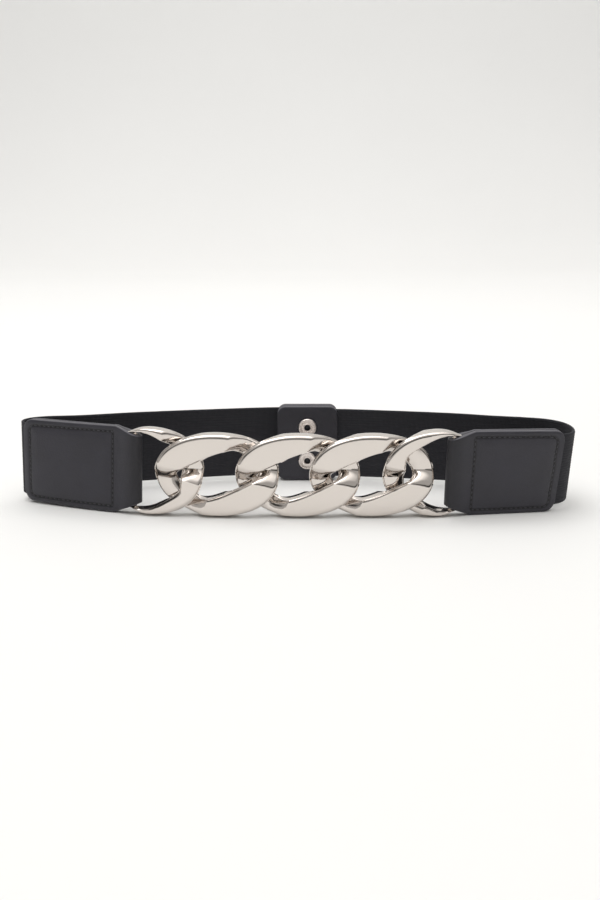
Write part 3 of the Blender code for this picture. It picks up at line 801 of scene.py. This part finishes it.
tab = {
    "length": {"left": 63.0, "right": 55.0},    # from the bar
    "corner": 5.2,
    "nearFold": {"left": 11.5, "right": 9.8},   # from the bar to the first row of stitches
    "margin": 3.1, "marginEnd": 3.6,            # from the stitches to the long edges and the end
}


def frontTab(side, line):
    length, lead, tallest = tab["length"][side], belt["tabLead"], tabHalfHigh
    thin = belt["bandThick"] / 2 + belt["fit"] + belt["leather"]

    def highAt(at):
        return tallest - belt["tabStep"] * max(0.0, lead - at) / (lead + foldEdge)

    rings = []
    for turn in (5, 10, 16, 24, 32, 41, 50, 60, 70, 80, 90):
        at = -foldEdge * math.cos(math.radians(turn))
        rings.append((at, foldEdge * math.sin(math.radians(turn)), highAt(at), 0.0))
    steps = int(lead / leatherSheet["grid"])
    for step in range(1, steps + 1):
        share = step / steps
        thick = foldEdge + (thin - foldEdge) * smooth(0, 1, share)
        rings.append((share * lead, thick, highAt(share * lead), smooth(0.1, 1.0, share)))
    run = length - tab["corner"] - lead
    steps = int(run / leatherSheet["grid"])
    for step in range(1, steps + 1):
        rings.append((lead + run * step / steps, thin, tallest, 1.0))
    rings += cornerRings(length, -1, thin, tallest, tab["corner"])[1:]
    low, high, tall = tab["nearFold"][side], length - tab["marginEnd"], tallest - tab["margin"]
    box = stitchedBox(low, high, tall, stitch["corner"], stitch["square"])
    body = leatherPiece("leather_tab_" + side, line, rings, box)
    route = stitchRoute(low, high, tall, stitch["corner"], stitch["square"], stitch["pitch"])
    seam = stitchPiece("stitches_tab_" + side, line, route, thin - leatherSheet["press"] + stitch["up"])
    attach(body, "root")
    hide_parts("tab_" + side)
    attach(seam, "root")


frontTab("left", leftLine)
frontTab("right", rightLine)
print("front tabs made")


# Closure: one leather patch over the end of each half, without stitches

def closurePatch(name, node, line):
    end = line.length + closure["stitch"]
    start = end - closure["long"]
    thin, tallest, corner = closureThick / 2, closureMiddle, closure["corner"]
    rings = cornerRings(start, 1, thin, tallest, corner)[::-1]
    run = closure["long"] - 2 * corner
    steps = int(run / leatherSheet["grid"])
    for step in range(1, steps):
        rings.append((start + corner + run * step / steps, thin, tallest, 1.0))
    rings += cornerRings(end, -1, thin, tallest, corner)
    body = leatherPiece("leather_" + name, line, rings, lambda at, up: math.inf)
    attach(body, "root")
    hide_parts(node)


closurePatch("closure_inner", "back_tab_inner", rightLine)
closurePatch("closure_outer", "back_tab_outer", leftLine)
print("closure made")


# Snaps

snap = {
    "ring": 5.15, "bore": 1.6, "post": 2.6, "cap": 6.0,  # radii
    "rise": 1.4, "capRise": 1.8,
    "core": 0.05, "sides": 64,                           # radius where the turned shape closes
}


def snapPiece(name, high):
    face = innerDeep - closureThick / 2 - belt["fit"]
    rear = outerDeep + closureThick / 2 + belt["fit"]
    ring, bore, post, cap = snap["ring"], snap["bore"], snap["post"], snap["cap"]
    top, rise = face - snap["rise"], snap["rise"]
    # radius and depth, from the bore's floor over the ring, the post and the cap
    profile = (
        (snap["core"], face + 2.6), (bore * 0.5, face + 2.6), (bore * 0.55, face + 1.7),
        (bore * 0.9, face + 1.6), (bore, face + 0.9), (bore, top + 0.5 * rise),
        (bore + 0.1, top + 0.22 * rise), (bore + 0.3, top + 0.04 * rise), (bore + 0.55, top),
        (bore + 0.75, top + 0.04 * rise),
        (bore + 0.85, top + 0.12 * rise), (bore + 1.05, top + 0.13 * rise),
        (ring - 0.9, top + 0.13 * rise), (ring - 0.75, top + 0.07 * rise), (ring - 0.4, top + 0.09 * rise),
        (ring - 0.15, top + 0.24 * rise), (ring, top + 0.5 * rise), (ring, face), (post, face),
        (post, rear), (cap, rear), (cap, rear + 0.3 * snap["capRise"]),
        (cap * 0.985, rear + 0.42 * snap["capRise"]), (cap * 0.93, rear + 0.56 * snap["capRise"]),
        (cap * 0.8, rear + 0.73 * snap["capRise"]), (cap * 0.6, rear + 0.88 * snap["capRise"]),
        (cap * 0.35, rear + 0.97 * snap["capRise"]), (snap["core"], rear + snap["capRise"]),
    )
    rings = [ringOf(Vector((closure["shift"], deep, closureMiddle + high)), Vector((1, 0, 0)),
                    Vector((0, 0, 1)), radius, snap["sides"]) for radius, deep in profile]
    verts, faces = tube(rings)
    # tarnished inside the bore
    dark = [1.0 if radius < bore + 0.05 and deep < rear - 1 else 0.0 for radius, deep in profile]
    paintedLightAndTarnish = [value for value in dark for _ in range(snap["sides"])]
    piece = makePiece("ring_" + name, place(verts), faces, snapMetal, paintedLightAndTarnish=paintedLightAndTarnish, angle=32)
    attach(piece, "root")
    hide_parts(name)


snapPiece("snap_upper", closure["snapSpacing"] / 2)
snapPiece("snap_lower", -closure["snapSpacing"] / 2)
print("snaps made")


# Floor and backdrop in one sweep

def makePaper():
    # Matt white studio paper: pale and even, with barely visible clouds
    material, tree, shader = newMaterial("paleStudioPaper")
    where = addNode(tree, "ShaderNodeTexCoord").outputs["Object"]
    cloud = addNode(tree, "ShaderNodeTexNoise", {"Vector": where, "Scale": 1.5, "Detail": 2.0})
    tone = addNode(tree, "ShaderNodeMix", {0: cloud.outputs["Fac"], 6: srgb("#EDEDEC"),
                   7: srgb("#F2F2F1")}, data_type="RGBA")
    tree.links.new(tone.outputs[2], shader.inputs["Base Color"])
    shader.inputs["Roughness"].default_value = 0.7
    shader.inputs["Specular IOR Level"].default_value = 0.2
    return material


room = {"near": -3.0, "far": 1.6, "bend": 0.7, "tall": 2.6, "wide": 3.2}  # metres


def makeRoom():
    line = [(room["near"], 0.0), (room["far"], 0.0)]
    for step in range(1, 13):
        turn = math.radians(7.5 * step)
        line.append((room["far"] + room["bend"] * math.sin(turn), room["bend"] * (1 - math.cos(turn))))
    line.append((room["far"] + room["bend"], room["tall"]))
    verts = [Vector((side * room["wide"], y, z)) for y, z in line for side in (-1, 1)]
    faces = [(2 * i, 2 * i + 1, 2 * i + 3, 2 * i + 2) for i in range(len(line) - 1)]
    mesh = bpy.data.meshes.new("studioSweep")
    mesh.from_pydata(verts, [], faces)
    mesh.materials.append(makePaper())
    mesh.shade_smooth()
    sweep = bpy.data.objects.new("studioSweep", mesh)
    bpy.context.scene.collection.objects.link(sweep)


makeRoom()


# Light: a bright soft ceiling, with a darker zone high in front that gives the polished metal its shadows

light = {
    "sky": 0.46, "dim": 0.03, "ceiling": 0.9,  # strengths; the last adds to the sky overhead
    # where each comes in, by a part of the direction: Y is away from the camera, Z is up
    "dimFront": ("Y", -0.25, -0.55), "dimAbove": ("Z", 0.14, 0.22), "dimBelow": ("Z", 0.46, 0.38),
    "overhead": ("Z", 0.66, 0.86),
    # lamps in watts and metres
    "key": 6.0, "keyPlace": (-0.35, -0.25, 1.35), "keySize": 1.1, "keyAim": (0.0, 0.0, 0.02),
    "wall": 20.0, "wallPlace": (0.0, 0.9, 2.3), "wallSize": 2.4, "wallAim": (0.0, 2.3, 1.2),
}


def makeSky():
    world = bpy.data.worlds.new("studioSky")
    bpy.context.scene.world = world
    world.use_nodes = True
    tree = world.node_tree
    direction = addNode(tree, "ShaderNodeTexCoord").outputs["Generated"]
    parts = addNode(tree, "ShaderNodeSeparateXYZ", {"Vector": direction})
    found = []
    for zoneName, most in (("dimFront", 1.0), ("dimAbove", 1.0), ("dimBelow", 1.0),
                           ("overhead", light["ceiling"])):
        axis, low, high = light[zoneName]
        zone = addNode(tree, "ShaderNodeMapRange", {"Value": parts.outputs[axis], "From Min": low,
                       "From Max": high, "To Max": most}, interpolation_type="SMOOTHSTEP")
        found.append(zone.outputs[0])
    front, above, below, ceiling = found
    band = addNode(tree, "ShaderNodeMath", {0: above, 1: below}, operation="MULTIPLY")
    dark = addNode(tree, "ShaderNodeMath", {0: band.outputs[0], 1: front}, operation="MULTIPLY")
    strength = addNode(tree, "ShaderNodeMapRange", {"Value": dark.outputs[0], "To Min": light["sky"],
                       "To Max": light["dim"]})
    total = addNode(tree, "ShaderNodeMath", {0: strength.outputs[0], 1: ceiling}, operation="ADD")
    sky = tree.nodes["Background"]
    sky.inputs["Color"].default_value = srgb("#FFFDFA")
    tree.links.new(total.outputs[0], sky.inputs["Strength"])


makeSky()


def addSoftbox(name, which):
    lamp = bpy.data.lights.new(name, "AREA")
    lamp.shape = "SQUARE"
    lamp.size = light[which + "Size"]
    lamp.energy = light[which]
    box = bpy.data.objects.new(name, lamp)
    spot = Vector(light[which + "Place"])
    box.location = spot
    box.rotation_euler = (Vector(light[which + "Aim"]) - spot).to_track_quat("-Z", "Y").to_euler()
    bpy.context.scene.collection.objects.link(box)


addSoftbox("softbox", "key")
addSoftbox("backdropLight", "wall")
print("room and light made")


# Camera: at the photograph's angle

# back and up from the belt's middle; focal length and width in pixels
view = {"back": 422.4, "up": 154.0, "pitch": 15.814, "focal": 869.1, "imageWide": 600}
camera = bpy.data.cameras.new("camera")
camera.sensor_fit = "HORIZONTAL"
camera.sensor_width = 36
camera.lens = view["focal"] / view["imageWide"] * camera.sensor_width
cameraObject = bpy.data.objects.new("camera", camera)
cameraObject.location = (Vector((0, -view["back"], view["up"])) + placeOfBelt) * mm
cameraObject.rotation_euler = (math.radians(90 - view["pitch"]), 0, 0)
bpy.context.scene.collection.objects.link(cameraObject)
bpy.context.scene.camera = cameraObject
bpy.context.scene.view_settings.view_transform = "Standard"

print("scene made")
